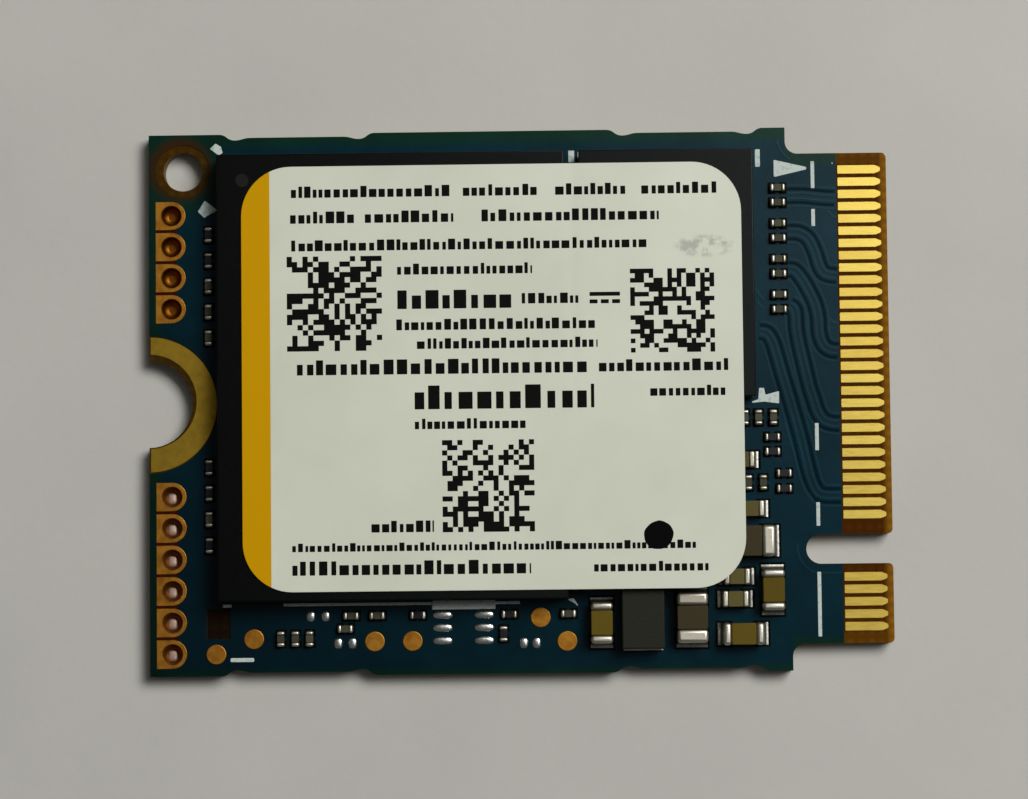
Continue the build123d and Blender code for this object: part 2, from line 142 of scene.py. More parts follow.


# Solder mask is a cured epoxy film: smooth and semi-gloss, with slow ripples from the copper below.
# It looks bluer where copper backs it and greener along the rim, where only glass does. It is also
# painted darker at the lower left and lighter at the upper right, as painted light from the lamps there.
def mask_film(name, over_copper, over_glass, sheen=0.17):
    """Solder mask that runs from the glass tone at the card's rim to the copper tone inside."""
    material, put, shader, place = new_finish(name, Roughness=0.2, Specular_IOR_Level=sheen)
    x, y = put("SeparateXYZ", place).node.outputs[:2]
    near_side = put("Math", y, -1.0, -near_rim_less, operation="MULTIPLY_ADD")
    across = put("Math", y, near_side, operation="MAXIMUM")
    along = put("Math", x, operation="ABSOLUTE")
    on_tongue = put("Math", x, shoulder_x, operation="GREATER_THAN")
    half_width = put("MapRange", on_tongue, 0.0, 1.0, half_card, half_tongue)
    side_room = put("Math", half_width, across, operation="SUBTRACT")
    end_room = put("Math", half_length, along, operation="SUBTRACT")
    edge_room = put("Math", side_room, end_room, operation="MINIMUM")
    hole_room = put("VectorMath", place, rim_centre, operation="DISTANCE")
    notch_room = put("VectorMath", place, notch_axis, operation="DISTANCE")
    soft = {"interpolation_type": "SMOOTHSTEP"}
    in_pour = put("MapRange", edge_room, pour_start, pour_full, **soft)
    off_hole = put("MapRange", hole_room, 1.8 * tooling_radius, 2.8 * tooling_radius, **soft)
    backed = put("Math", in_pour, off_hole, operation="MULTIPLY")
    film = put("Mix", backed, linear(over_glass), linear(over_copper), data_type="RGBA")
    mottle = put("TexNoise", Vector=place, Scale=grain(1.6), Detail=4.0)
    shade = put("MapRange", mottle, 0.3, 0.7, 0.8, 1.15)
    # Painted light: a ramp from the lower left to the upper right darkens and lightens the film.
    run = put("VectorMath", place, (0.7, 0.7, 0.0), operation="DOT_PRODUCT")
    reach = 1.2 * half_length
    painted_light_ramp = put("MapRange", run, -reach, reach, 0.45, 1.45)
    depth = put("Math", shade, painted_light_ramp, operation="MULTIPLY")
    toned = put("VectorMath", film, depth, operation="MULTIPLY")
    feed(shader, Base_Color=toned)
    hole_rim = put("MapRange", hole_room, 1.9 * tooling_radius, 1.3 * tooling_radius, 0.0, 0.9, **soft)
    notch_rim = put("MapRange", notch_room, notch_rim_reach + rim_blur, notch_rim_reach)
    open_rim = put("Math", hole_rim, notch_rim, operation="MAXIMUM")
    lay_over(put, shader, open_rim, laminate_rim)
    ripple = put("TexNoise", Vector=place, Scale=grain(0.22), Detail=4.0)
    roughen(put, shader, ripple, (0.25, 0.01))
    return material


solder_mask = mask_film("solder_mask_film", mask_over_copper, mask_over_glass)


# Bare laminate: epoxy over glass cloth, amber and slightly glossy, with the cloth's square weave.
# It is darker brown among the contacts and amber beyond their row.
def bare_epoxy(name, inner, outer, hole=None):
    """Bare laminate that turns from the inner to the outer colour round a hole, or past the contacts."""
    material, put, shader, place = new_finish(name, Roughness=0.45, Specular_IOR_Level=0.02)
    if hole:
        far = put("VectorMath", place, hole, operation="DISTANCE")
        share = put("MapRange", far, 0.9 * mm, 1.12 * mm)
    else:
        x, y = put("SeparateXYZ", place).node.outputs[:2]
        across = put("Math", y, operation="ABSOLUTE")
        past_side = put("MapRange", across, finger_row_side, finger_row_side + 0.15 * mm, 0.0, 0.35)
        past_end = put("MapRange", x, finger_row_end, finger_row_end + 0.2 * mm)
        share = put("Math", past_side, past_end, operation="MAXIMUM")
    weave = partial(put, "TexWave", Vector=place, Scale=bands(0.42))
    warp, weft = [weave(bands_direction=axis).node.outputs["Fac"] for axis in ("X", "Y")]
    cloth = put("Math", warp, weft, operation="MULTIPLY")
    resin = put("TexNoise", Vector=place, Scale=grain(0.5), Detail=4.0)
    warmth = put("Math", cloth, resin, 0.12, operation="MULTIPLY_ADD")
    amber = put("Mix", share, linear(inner), linear(outer), data_type="RGBA")
    lit = put("MapRange", warmth, 0.0, 1.0, 0.8, 1.5)
    toned = put("VectorMath", amber, lit, operation="MULTIPLY")
    feed(shader, Base_Color=toned)
    roughen(put, shader, warmth, (0.3, 0.01))
    return material


bare_laminate = bare_epoxy("bare_glass_epoxy", laminate_brown, laminate_amber)
ring_laminate = bare_epoxy("shaded_glass_epoxy", laminate_umber, laminate_shade, rim_centre)
dark_laminate = bare_epoxy("glass_epoxy_over_copper", laminate_dark, laminate_dark)

# Routed edge: cut glass fibre, dull and pale brown, with the inner copper layers as thin dark lines.
routed_edge, put, shader, place = new_finish("routed_glass_edge", Roughness=0.75, Specular_IOR_Level=0.2)
layers = put("TexWave", Vector=place, Scale=bands(0.26), Distortion=0.4, bands_direction="Z")
line = put("MapRange", layers.node.outputs["Fac"], 0.75, 0.98)
cut = put("Mix", line, linear(routed_glass), linear(inner_copper), data_type="RGBA")
fibre = put("TexNoise", Vector=place, Scale=grain(0.09), Detail=4.0)
lit = put("MapRange", fibre, 0.3, 0.7, 0.6, 1.1)
toned = put("VectorMath", cut, lit, operation="MULTIPLY")
feed(shader, Base_Color=toned)
roughen(put, shader, fibre, (0.5, 0.02))


def smooth_by_angle(mesh, degrees):
    """Shade rounded walls smoothly, keep flat faces flat and keep the edges that are sharper than this."""
    if "custom_normal" in mesh.attributes:
        mesh.attributes.remove(mesh.attributes["custom_normal"])
    mesh.set_sharp_from_angle(angle=math.radians(degrees))
    mesh.polygons.foreach_set("use_smooth", [max(map(abs, face.normal)) < 0.9999 for face in mesh.polygons])


def settle(name, mesh, finish, nodes, angle=None):
    """Make a mesh a piece of the card: shade it, coat it if asked, fix it and hide the CAD parts it stands
    for.
    """
    if angle:
        smooth_by_angle(mesh, angle)
    if finish:
        mesh.materials.clear()
        mesh.materials.append(finish)
    piece = bpy.data.objects.new(name, mesh)
    bpy.context.scene.collection.objects.link(piece)
    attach(piece, "root")
    if nodes:
        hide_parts(*nodes)


def merged_copy(node):
    """A copy of a CAD node's mesh with its loose triangles joined up."""
    shape = bmesh.new()
    shape.from_mesh(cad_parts[node].data)
    bmesh.ops.remove_doubles(shape, verts=shape.verts, dist=weld_reach)
    return shape


board_finishes = [solder_mask, bare_laminate, routed_edge, ring_laminate, dark_laminate]
shape = merged_copy("circuit_board")
for face in shape.faces:
    middle = face.calc_center_median()
    finish = routed_edge
    if abs(face.normal.z) > 0.9:
        if middle.z > board_top - touching or middle.z < touching:
            finish = solder_mask
        elif middle.x > 0:
            finish = bare_laminate
        else:
            finish = ring_laminate if middle.y > copper_corner_y else dark_laminate
    elif face.normal.x > 0.5 and abs(face.normal.z) > 0.1:
        finish = bare_laminate
    face.material_index = board_finishes.index(finish)
mesh = bpy.data.meshes.new("board_plate")
shape.to_mesh(mesh)
shape.free()
for finish in board_finishes:
    mesh.materials.append(finish)
settle("board_plate", mesh, None, ["circuit_board"], 25)

# Signal traces: etched copper lines under the mask, in close pairs from the series capacitors and
# the controller to the contacts. The mask drapes over them, so each shows as a low rounded ridge,
# with a dark moat on both sides of a pair and then the edge of the copper pour.
mask_over_trace = "0A2C35"
mask_over_moat = "02161E"
pair_gap_mm = 0.11
moat_gap_mm = 0.275
pour_gap_mm = 0.42
bend_room = 0.98
least_step_mm = 0.05
route_step = 0.0004 * mm
lane_paths = [
    [(10.95, 8.2), (11.6, 8.2), (12.3, 8.12), (12.93, 8.08)],
    [(10.95, 6.72), (11.45, 6.68), (11.82, 6.4), (12.07, 5.85), (12.22, 5.35), (12.45, 5.02), (12.93, 4.92)],
    [
        (10.95, 5.2), (11.22, 5.15), (11.52, 4.78), (11.8, 4.28), (12.03, 3.75),
        (12.14, 3.2), (12.17, 2.6), (12.33, 2.13), (12.6, 1.92), (12.93, 1.88),
    ],
    [
        (10.98, 3.74), (11.16, 3.62), (11.23, 3.3), (11.25, 2.8), (11.36, 2.1), (11.54, 1.3),
        (11.72, 0.5), (11.9, -0.1), (12.04, -0.55), (12.28, -0.92), (12.6, -1.05), (12.93, -1.08),
    ],
    [
        (9.75, 2.68), (10.05, 2.62), (10.27, 2.28), (10.45, 1.7), (10.65, 0.95), (10.92, 0.0), (11.15, -0.85),
        (11.38, -1.75), (11.58, -2.65), (11.74, -3.3), (11.92, -3.72), (12.2, -3.95), (12.93, -3.98),
    ],
]
single_paths = [
    [(9.6, 4.45), (9.78, 4.2), (9.98, 3.98)],
    [(9.62, 3.98), (9.8, 3.78), (9.98, 3.6)],
    [(10.72, -1.0), (11.0, -2.0), (11.25, -3.0), (11.5, -3.7), (11.8, -4.15)],
    [(11.14, -5.9), (11.18, -6.3), (11.34, -6.68), (11.62, -6.95), (12.0, -7.08), (12.93, -7.1)],
    [(10.58, 10.5), (10.66, 10.22), (10.83, 9.93), (11.1, 9.68)],
    [(12.6, 7.6), (12.74, 7.4), (12.93, 7.28)],
    [(12.6, 3.2), (12.74, 3.05), (12.93, 2.98)],
]


def spread(points, steps=8):
    """A smooth line through the points, as closely spaced points."""
    ends = [points[0]] + points + [points[-1]]
    line = []
    for four in zip(ends, ends[1:], ends[2:], ends[3:]):
        for i in range(steps):
            t = i / steps
            weights = (
                (-t + 2 * t**2 - t**3) / 2,
                (2 - 5 * t**2 + 3 * t**3) / 2,
                (t + 4 * t**2 - 3 * t**3) / 2,
                (t**3 - t**2) / 2,
            )
            line.append(tuple(sum(w * p[k] for w, p in zip(weights, four)) for k in (0, 1)))
    return line + [points[-1]]


def beside(line, offset):
    """The line moved sideways, without the loops and crowding that a tight bend would give."""
    moved = []
    for i, (x, y) in enumerate(line):
        before, after = line[max(i - 1, 0)], line[min(i + 1, len(line) - 1)]
        run = Vector((after[0] - before[0], after[1] - before[1])).normalized()
        spot = (x - run.y * offset, y + run.x * offset)
        clear = min(math.dist(spot, point) for point in line) > bend_room * abs(offset)
        if clear and (not moved or math.dist(spot, moved[-1]) > least_step_mm):
            moved.append(spot)
    return moved


def new_tree(name, sockets):
    """An empty Geometry Nodes tree with the named inputs, their identifiers, and its two ends."""
    tree = bpy.data.node_groups.new(name, "GeometryNodeTree")
    tree.interface.new_socket("Geometry", in_out="OUTPUT", socket_type="NodeSocketGeometry")
    tree.interface.new_socket("Geometry", in_out="INPUT", socket_type="NodeSocketGeometry")
    keys = {}
    for label, kind in sockets.items():
        socket = tree.interface.new_socket(label, in_out="INPUT", socket_type="NodeSocket" + kind)
        keys[label] = socket.identifier
    return tree, keys, tree.nodes.new("NodeGroupInput").outputs, tree.nodes.new("NodeGroupOutput").inputs


def hand_out(tree, shape, finish, result):
    """End a tree: make its copies real and give them their finish."""
    real = add_node(tree, "GeometryNodeRealizeInstances", shape)
    coated = add_node(tree, "GeometryNodeSetMaterial", Geometry=real, Material=finish)
    tree.links.new(coated, result["Geometry"])


def grown(source, tree, keys, values):
    """Run a Geometry Nodes tree on an object, return the result as a plain mesh and drop the object."""
    bpy.context.scene.collection.objects.link(source)
    modifier = source.modifiers.new(tree.name, "NODES")
    modifier.node_group = tree
    for label, value in values.items():
        modifier[keys[label]] = value
    graph = bpy.context.evaluated_depsgraph_get()
    mesh = bpy.data.meshes.new_from_object(source.evaluated_get(graph))
    source.modifiers.clear()
    bpy.data.objects.remove(source)
    return mesh


trace_inputs = {"Width": "Float", "Height": "Float", "Finish": "Material"}
trace_tree, trace_keys, given, result = new_tree("ridges_along_lines", trace_inputs)
crest = add_node(trace_tree, "Math", given["Width"], 0.35, operation="MULTIPLY")
profile = {"Bottom_Width": given["Width"], "Top_Width": crest, "Height": given["Height"], "Offset": 0.0}
section = add_node(trace_tree, "GeometryNodeCurvePrimitiveQuadrilateral", **profile, mode="TRAPEZOID")
upright = add_node(trace_tree, "GeometryNodeSetCurveNormal", Curve=given["Geometry"], mode="Z_UP")
swept = {"Curve": upright, "Profile_Curve": section, "Fill_Caps": True}
hand_out(trace_tree, add_node(trace_tree, "GeometryNodeCurveToMesh", **swept), given["Finish"], result)

lanes = [spread(path) for path in lane_paths]
trace_routes = [spread(path) for path in single_paths]
trace_routes += [beside(lane, side * pair_gap_mm) for lane in lanes for side in (-1, 1)]
moat_routes = [beside(lane, side * moat_gap_mm) for lane in lanes for side in (-1, 1)]
pour_routes = [beside(lane, side * pour_gap_mm) for lane in lanes for side in (-1, 1)]
for name, colour, sheen, width, height, routes in (
    ("signal_traces", mask_over_trace, 0.17, 0.09 * mm, 0.04 * mm, trace_routes),
    ("trace_moats", mask_over_moat, 0.05, 0.12 * mm, 0.008 * mm, moat_routes),
    ("pour_edges", mask_over_trace, 0.17, 0.07 * mm, 0.03 * mm, pour_routes),
):
    ridge_mask = mask_film("solder_mask_over_" + name, colour, colour, sheen)
    lines = bpy.data.curves.new(name + "_lines", "CURVE")
    lines.dimensions = "3D"
    for rank, route in enumerate(routes):
        spline = lines.splines.new("POLY")
        spline.points.add(len(route) - 1)
        for point, (x, y) in zip(spline.points, route):
            point.co = (x * mm, y * mm, board_top + rank * route_step, 1)
    source = bpy.data.objects.new(name + "_lines", lines)
    mesh = grown(source, trace_tree, trace_keys, {"Width": width, "Height": height, "Finish": ridge_mask})
    settle(name, mesh, ridge_mask, [], 80)

# Edge contacts: copper fingers under hard gold, drawn to blunt points at the card's end. They lie in
# the mask opening with rolled edges, and carry the faint lengthwise rubbing of being plugged in.
gold_bright = "C3AC54"
gold_worn = "B89A43"
plating = 0.012 * mm
finger_heel = 0.04 * mm
finger_neck = 0.24 * mm
finger_shoulder = 0.25 * mm
finger_tip = 0.09 * mm
finger_roll = 0.02 * mm


def solids_of(node):
    """Each loose solid of a CAD node, in order: its low corner, its high corner and the middle of its top."""
    shape = merged_copy(node)
    found = []
    left = set(shape.verts)
    while left:
        island, front = [], [left.pop()]
        while front:
            vert = front.pop()
            island.append(vert.co.copy())
            for edge in vert.link_edges:
                other = edge.other_vert(vert)
                if other in left:
                    left.remove(other)
                    front.append(other)
        low = Vector([min(co[k] for co in island) for k in range(3)])
        high = Vector([max(co[k] for co in island) for k in range(3)])
        crown = [co for co in island if co.z > high.z - touching]
        found.append((low, high, sum(crown, Vector()) / len(crown)))
    shape.free()
    return sorted(found, key=lambda solid: tuple(round(c, 7) for c in solid[0]))


def seats(node):
    """The (middle x, middle y, foot z, turn) of each solid of a CAD node, and the first one's size."""
    solids = solids_of(node)
    size = solids[0][1] - solids[0][0]
    places = []
    for low, high, crown in solids:
        turned = abs((high - low).x - size.x) > touching
        places.append(((low.x + high.x) / 2, (low.y + high.y) / 2, low.z, math.pi / 2 if turned else 0.0))
    return places, size


copy_inputs = {"Part": "Object", "Seed": "Int", "Finish": "Material"}
copy_tree, copy_keys, given, result = new_tree("copies_on_seats", copy_inputs)
part = add_node(copy_tree, "GeometryNodeObjectInfo", Object=given["Part"]).node.outputs["Geometry"]
turn = add_node(copy_tree, "GeometryNodeInputNamedAttribute", Name="turn", data_type="FLOAT")
size = add_node(copy_tree, "GeometryNodeInputNamedAttribute", Name="size", data_type="FLOAT_VECTOR")
spin = add_node(copy_tree, "CombineXYZ", Z=turn)
stand = {"Points": given["Geometry"], "Instance": part, "Rotation": spin, "Scale": size}
stood = add_node(copy_tree, "GeometryNodeInstanceOnPoints", **stand)
chance = add_node(copy_tree, "FunctionNodeRandomValue", Seed=given["Seed"], data_type="FLOAT")
tone = {"Geometry": stood, "Name": "tone", "Value": chance}
toned = add_node(copy_tree, "GeometryNodeStoreNamedAttribute", **tone, data_type="FLOAT", domain="INSTANCE")
hand_out(copy_tree, toned, given["Finish"], result)


def settle_copies(name, part_mesh, places, finish, nodes, seed, sizes=None, angle=None):
    """Settle one piece with a copy of the part at each seat, each copy with its own random tone."""
    spots = bpy.data.meshes.new(name + "_seats")
    spots.from_pydata([place[:3] for place in places], [], [])
    turns = spots.attributes.new("turn", "FLOAT", "POINT")
    turns.data.foreach_set("value", [place[3] for place in places])
    scales = spots.attributes.new("size", "FLOAT_VECTOR", "POINT")
    scales.data.foreach_set("vector", [c for size in sizes or [(1, 1, 1)] * len(places) for c in size])
    part = bpy.data.objects.new(name + "_part", part_mesh)
    bpy.context.scene.collection.objects.link(part)
    values = {"Part": part, "Seed": seed, "Finish": finish}
    mesh = grown(bpy.data.objects.new(name + "_seats", spots), copy_tree, copy_keys, values)
    bpy.data.objects.remove(part)
    settle(name, mesh, finish, nodes, angle)


def inset(outline, depth):
    """The closed outline drawn inwards by a depth; the outline runs anticlockwise."""
    drawn = []
    for i, point in enumerate(outline):
        here, before, after = Vector(point), Vector(outline[i - 1]), Vector(outline[(i + 1) % len(outline)])
        one, two = (here - before).normalized(), (after - here).normalized()
        normal = Vector((-one.y, one.x)) + Vector((-two.y, two.x))
        normal.normalize()
        drawn.append(tuple(here + normal * depth / max(normal.dot(Vector((-one.y, one.x))), 0.3)))
    return drawn


def bridge(shape, rings):
    """Join each ring of vertices to the next with a band of faces."""
    for low, high in zip(rings, rings[1:]):
        for i in range(len(low)):
            j = (i + 1) % len(low)
            shape.faces.new((low[i], low[j], high[j], high[i]))


def plate(shape, outline, levels):
    """Add a closed plate: one ring of the outline at each (inset, height), with a flat top and bottom."""
    rings = []
    for depth, z in levels:
        rings.append([shape.verts.new((x, y, z)) for x, y in (inset(outline, depth) if depth else outline)])
    bridge(shape, rings)
    shape.faces.new(list(reversed(rings[0])))
    shape.faces.new(rings[-1])


def rounded(corners, steps):
    """An anticlockwise outline from (x, y, corner radius) corners."""
    outline = []
    for i, (x, y, radius) in enumerate(corners):
        here = Vector((x, y))
        before = (Vector(corners[i - 1][:2]) - here).normalized()
        after = (Vector(corners[(i + 1) % len(corners)][:2]) - here).normalized()
        half = before.angle(after) / 2
        middle = here + (before + after).normalized() * radius / math.sin(half)
        start = here + before * radius / math.tan(half) - middle
        turn = 1 if before.x * after.y - before.y * after.x < 0 else -1
        for k in range(steps + 1):
            angle = turn * (math.pi - 2 * half) * k / steps
            c, s = math.cos(angle), math.sin(angle)
            outline.append((middle.x + start.x * c - start.y * s, middle.y + start.x * s + start.y * c))
    return outline


def mesh_of(name, shape):
    """Close off a bmesh as a named mesh with outward faces."""
    bmesh.ops.recalc_face_normals(shape, faces=shape.faces)
    mesh = bpy.data.meshes.new(name)
    shape.to_mesh(mesh)
    shape.free()
    return mesh


def two_tone(name, one, other, patch_mm, span=None, fleck_mm=None, drawn=None, toned=False, **rest):
    """A finish of two tones in patches, and by copy if toned; flecks, drawn along x if asked, roughen it."""
    surface = {key: rest.pop(key) for key in ("dent", "matt") if key in rest}
    material, put, shader, place = new_finish(name, **rest)
    patch = put("TexNoise", Vector=place, Scale=grain(patch_mm), Detail=4.0)
    fleck = patch
    if fleck_mm:
        along = put("Mapping", Vector=place, Scale=(drawn, 1.0, 1.0)) if drawn else place
        fleck = put("TexNoise", Vector=along, Scale=grain(fleck_mm), Detail=4.0)
    if toned:
        tone = put("Attribute", attribute_name="tone").node.outputs["Fac"]
        patch = put("Math", patch, tone, operation="ADD")
    if span:
        patch = put("MapRange", patch, *span)
    feed(shader, Base_Color=put("Mix", patch, linear(one), linear(other), data_type="RGBA"))
    roughen(put, shader, fleck, **surface)
    return material, put, shader, place


# Hard gold: electroplated, bright yellow and slightly drawn along the finger by contact springs. The
# rubbing is drawn coarser than real hair lines, so that it shows.
hard_gold = two_tone(
    "hard_gold_plating", gold_bright, gold_worn, 0.6, (0.4, 1.4, 0.0, 0.6), fleck_mm=0.06, drawn=0.12,
    matt=(0.34, 0.44), dent=(0.12, 0.004), toned=True, Metallic=1.0,
)[0]
for side, node in (("upper", "edge_contacts_top"), ("lower", "edge_contacts_bottom")):
    places, size = seats(node)
    reach, half, height = size.x / 2, size.y / 2 + plating, size.z
    far_side = [
        (-reach, half, finger_heel),
        (reach - finger_neck, half, finger_shoulder),
        (reach, finger_tip, finger_tip),
    ]
    corners = [(x, -y, radius) for x, y, radius in far_side] + far_side[::-1]
    levels = [(finger_roll, 0), (0, 0.6 * finger_roll), (0, height)]
    if side == "upper":
        knee = 0.35 * finger_roll
        levels = [(0, 0), (0, height - finger_roll), (knee, height - knee), (finger_roll, height)]
    shape = bmesh.new()
    plate(shape, rounded(corners, 4), levels)
    finger = mesh_of("contact_finger", shape)
    settle_copies(side + "_contacts", finger, places, hard_gold, [node], 3, angle=50)

# Screw ring: a bare half ring of copper under a thin immersion gold, on both faces of the notch.
# It is flat and satin, a greener gold than the contacts, and is scuffed by the screw head.
ring_gold = "927626"
ring_scuff = "806721"
ring_inner = 1.91 * mm
ring_outer = 2.75 * mm
ring_shift = 0.12 * mm
ring_start = 0.05 * mm
arc_steps = 48

# Immersion gold: a thin chemical plating, satin over the grain of etched copper. The grain is drawn
# coarser than it is, so that it shows.
satin_gold = two_tone(
    "immersion_gold_satin", ring_gold, ring_scuff, 0.35, (0.4, 0.8), fleck_mm=0.05,
    matt=(0.42, 0.54), dent=(0.5, 0.008), Metallic=1.0,
)[0]
outline = []
for radius, shift, direction in ((ring_outer, 0, 1), (ring_inner, ring_shift, -1)):
    half = math.acos(ring_start / radius)
    for i in range(arc_steps + 1):
        angle = direction * half * (2 * i / arc_steps - 1)
        outline.append((board_low.x + radius * math.cos(angle), shift + radius * math.sin(angle)))
for name, node in (("upper_screw_ring", "screw_ring_top"), ("lower_screw_ring", "screw_ring_bottom")):
    low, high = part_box(node)
    rounding = 0.3 * (high.z - low.z)
    levels = [(0, low.z), (0, high.z - rounding), (rounding, high.z)]
    if name == "lower_screw_ring":
        levels = [(rounding, low.z), (0, low.z + rounding), (0, high.z)]
    shape = bmesh.new()
    plate(shape, outline, levels)
    settle(name, mesh_of(name, shape), satin_gold, [node], 30)

# Plated holes: drilled, lined with copper and plugged half way, each with a D-shaped land on both faces,
# in two columns at the screw end. Thin gold over the copper leaves them orange, and between two
# neighbours the mask is open on a thin strip of red-brown laminate.
land_orange = "A9752A"
land_dark = "8C5A1C"
barrel_painted_shade = "6C4010"
gap_brown = "2E0C03"
hole_radius = 0.4 * mm
hole_lip = 0.03 * mm
land_copper = 0.03 * mm
land_roll = 0.015 * mm
plug_dish = [(0.6, 1.0), (0.46, 0.9), (0.36, 0.68), (0.32, 0.4)]
plug_underside = 0.2 * mm
widest_gap = 0.2 * mm
gap_reach = 0.25 * mm
gap_margin = 0.02 * mm
bare_levels = [(0, board_top - 0.004 * mm), (0, board_top + 0.003 * mm)]

# Thin gold over copper: satin orange, with a grain coarse enough to show. Down in the barrel it is
# painted darker and redder, as painted shade in the hole.
warm_gold, put, shader, place = two_tone(
    "thin_gold_over_copper", land_orange, land_dark, 0.4, (0.4, 0.7), fleck_mm=0.04,
    matt=(0.4, 0.55), dent=(0.4, 0.006), Metallic=1.0,
)
up = put("SeparateXYZ", place).node.outputs["Z"]
rise = put("Math", up, board_top / 2, operation="SUBTRACT")
depth = put("Math", rise, operation="ABSOLUTE")
# Painted shade: the deeper the wall lies in the hole, the more of the dark red it takes.
inside = put("MapRange", depth, 0.48 * board_top, 0.3 * board_top)
lay_over(put, shader, inside, barrel_painted_shade)

hole_places, land_size = seats("plated_holes")
land_top = land_size.z
land_radius = land_size.y / 2
hole_offset = land_size.x / 2 - land_radius
flat_reach = land_size.x - land_radius
quarter = math.pi / 2
corner_turn = math.atan2(land_radius, -flat_reach)
turns = [quarter * i / 10 for i in range(-10, 10)]
turns += [quarter + (corner_turn - quarter) * i / 5 for i in range(5)]
turns += [corner_turn + 2 * (math.pi - corner_turn) * i / 10 for i in range(10)]
turns += [math.tau - corner_turn + (corner_turn - quarter) * i / 5 for i in range(5)]


def land_ring(shape, z, roll):
    """The D-shaped outline round the hole, rolled in by a little, as one ring of vertices."""
    ring = []
    for angle in turns:
        c, s = math.cos(angle), math.sin(angle)
        reach = land_radius
        if c < -1e-9:
            reach = min(flat_reach / -c, land_radius / max(abs(s), 1e-9))
        ring.append(shape.verts.new((hole_offset + c * (reach - roll), s * (reach - roll), z)))
    return ring


def hole_ring(shape, z, radius):
    """A ring of the hole's wall."""
    return [shape.verts.new((hole_offset + radius * math.cos(a), radius * math.sin(a), z)) for a in turns]


shape = bmesh.new()
for inner, outer, up in ((board_top - land_copper, land_top, 1), (land_copper, 0, -1)):
    rings = [
        land_ring(shape, inner, 0),
        land_ring(shape, outer - up * 0.6 * land_roll, 0),
        land_ring(shape, outer, land_roll),
        hole_ring(shape, outer, hole_radius + hole_lip),
        hole_ring(shape, outer - up * hole_lip, hole_radius),
    ]
    if up > 0:
        rings += [hole_ring(shape, height * mm, hole_radius * share) for height, share in plug_dish]
    else:
        rings.append(hole_ring(shape, plug_underside, hole_radius))
    bridge(shape, rings)
    shape.faces.new(rings[-1])
land = mesh_of("plated_hole", shape)
settle_copies(
    "plated_hole_column", land, hole_places, warm_gold, ["plated_holes"], 5, angle=40
)

gap_laminate = bare_epoxy("red_brown_glass_epoxy", gap_brown, gap_brown)
shape = bmesh.new()
left, right = hole_places[0][0] - land_size.x / 2 + gap_margin, hole_places[0][0] + gap_reach
rows = sorted(place[1] for place in hole_places)
for one, two in zip(rows, rows[1:]):
    half, middle = (two - one - land_size.y) / 2, (one + two) / 2
    if half < widest_gap:
        foot, head = middle - half, middle + half
        plate(shape, [(left, foot), (right, foot), (right, head), (left, head)], bare_levels)
settle("land_gaps", mesh_of("land_gaps", shape), gap_laminate, [])

# Test pads: round copper lands left bare for the probes of the tester that tries each finished card.
# They are etched with the board and carry the same thin gold as the plated holes.
pad_radius = 0.4 * mm
pad_sides = 36
places, size = seats("test_pads")
circle = [math.tau * i / pad_sides for i in range(pad_sides)]
circle = [(pad_radius * math.cos(angle), pad_radius * math.sin(angle)) for angle in circle]
domed = [(0, 0), (0, 0.6), (0.25, 0.9), (0.8, 1.0)]
shape = bmesh.new()
plate(shape, circle, [(depth * size.z, rise * size.z) for depth, rise in domed])
pad = mesh_of("probe_pad", shape)
settle_copies("probe_pads", pad, places, warm_gold, ["test_pads"], 7, angle=60)

# Legend: white epoxy ink, screen printed on the mask as plain pointers, bars and dashes.
# The ink is matt and slightly uneven, and thin enough to let the mask tint its edges.
ink_white = "B4BDB6"
ink_thin = "8A9A96"
dash_x = 12.0
dash_half = 0.075
ink_levels = [(0, board_top - 0.002 * mm), (0, board_top + 0.022 * mm), (0.012 * mm, board_top + 0.028 * mm)]
legend_ink = two_tone(
    "screened_white_ink", ink_white, ink_thin, 0.16, (0.52, 0.75), dent=(0.4, 0.006),
    Roughness=0.62, Specular_IOR_Level=0.2,
)[0]


def patch_of(points, radius, steps=3):
    """An outline through the points, in millimetres, with slightly round corners, in metres."""
    return rounded([(x * mm, y * mm, radius * mm) for x, y in points], steps)


def bar(x0, y0, x1, y1, radius):
    """A straight bar with round corners, in millimetres, as an outline in metres."""
    return patch_of([(x0, y0), (x1, y0), (x1, y1), (x0, y1)], radius, 4)


flag = [
    (9.2, -0.22), (9.9, -0.16), (10.5, -0.24), (10.5, 0.26),
    (9.95, 0.12), (9.9, 0.4), (9.7, 0.4), (9.66, -0.06),
]
marks = [
    patch_of([(10.43, 8.97), (11.75, 9.27), (11.75, 9.37), (10.43, 9.68)], 0.04),
    bar(9.68, 9.4, 9.88, 10.12, 0.04),
    bar(2.1, 9.68, 2.34, 10.16, 0.03),
    bar(2.48, 9.86, 2.64, 10.1, 0.03),
    patch_of([(-12.5, 10.42), (-12.15, 10.15), (-11.98, 10.25), (-12.05, 10.5), (-12.27, 10.64)], 0.03),
    patch_of(flag, 0.03),
    patch_of([(-13.0, 7.85), (-12.75, 7.6), (-12.2, 7.9), (-12.72, 8.3)], 0.03),
    bar(-11.75, -10.43, -10.8, -10.27, 0.05),
    bar(-9.6, -8.21, -3.6, -8.09, 0.03),
    bar(-3.6, -8.4, -1.05, -8.04, 0.03),
    bar(-1.05, -8.21, -0.05, -8.09, 0.03),
    bar(-12.05, -8.23, -11.7, -8.11, 0.03),
    patch_of([(2.14, -8.2), (2.36, -8.42), (2.1, -8.0), (1.85, -8.05)], 0.02),
    bar(12.78, 9.48, 12.83, 9.54, 0.02),
]
for foot, head in ((8.5, 9.6), (6.95, 7.65), (-2.15, -1.05), (-5.2, -4.25), (-9.65, -7.05)):
    marks.append(bar(dash_x - dash_half, foot, dash_x + dash_half, head, 0.35 * dash_half))
shape = bmesh.new()
for mark in marks:
    plate(shape, mark, ink_levels)
settle("legend_marks", mesh_of("legend_marks", shape), legend_ink, [], 40)
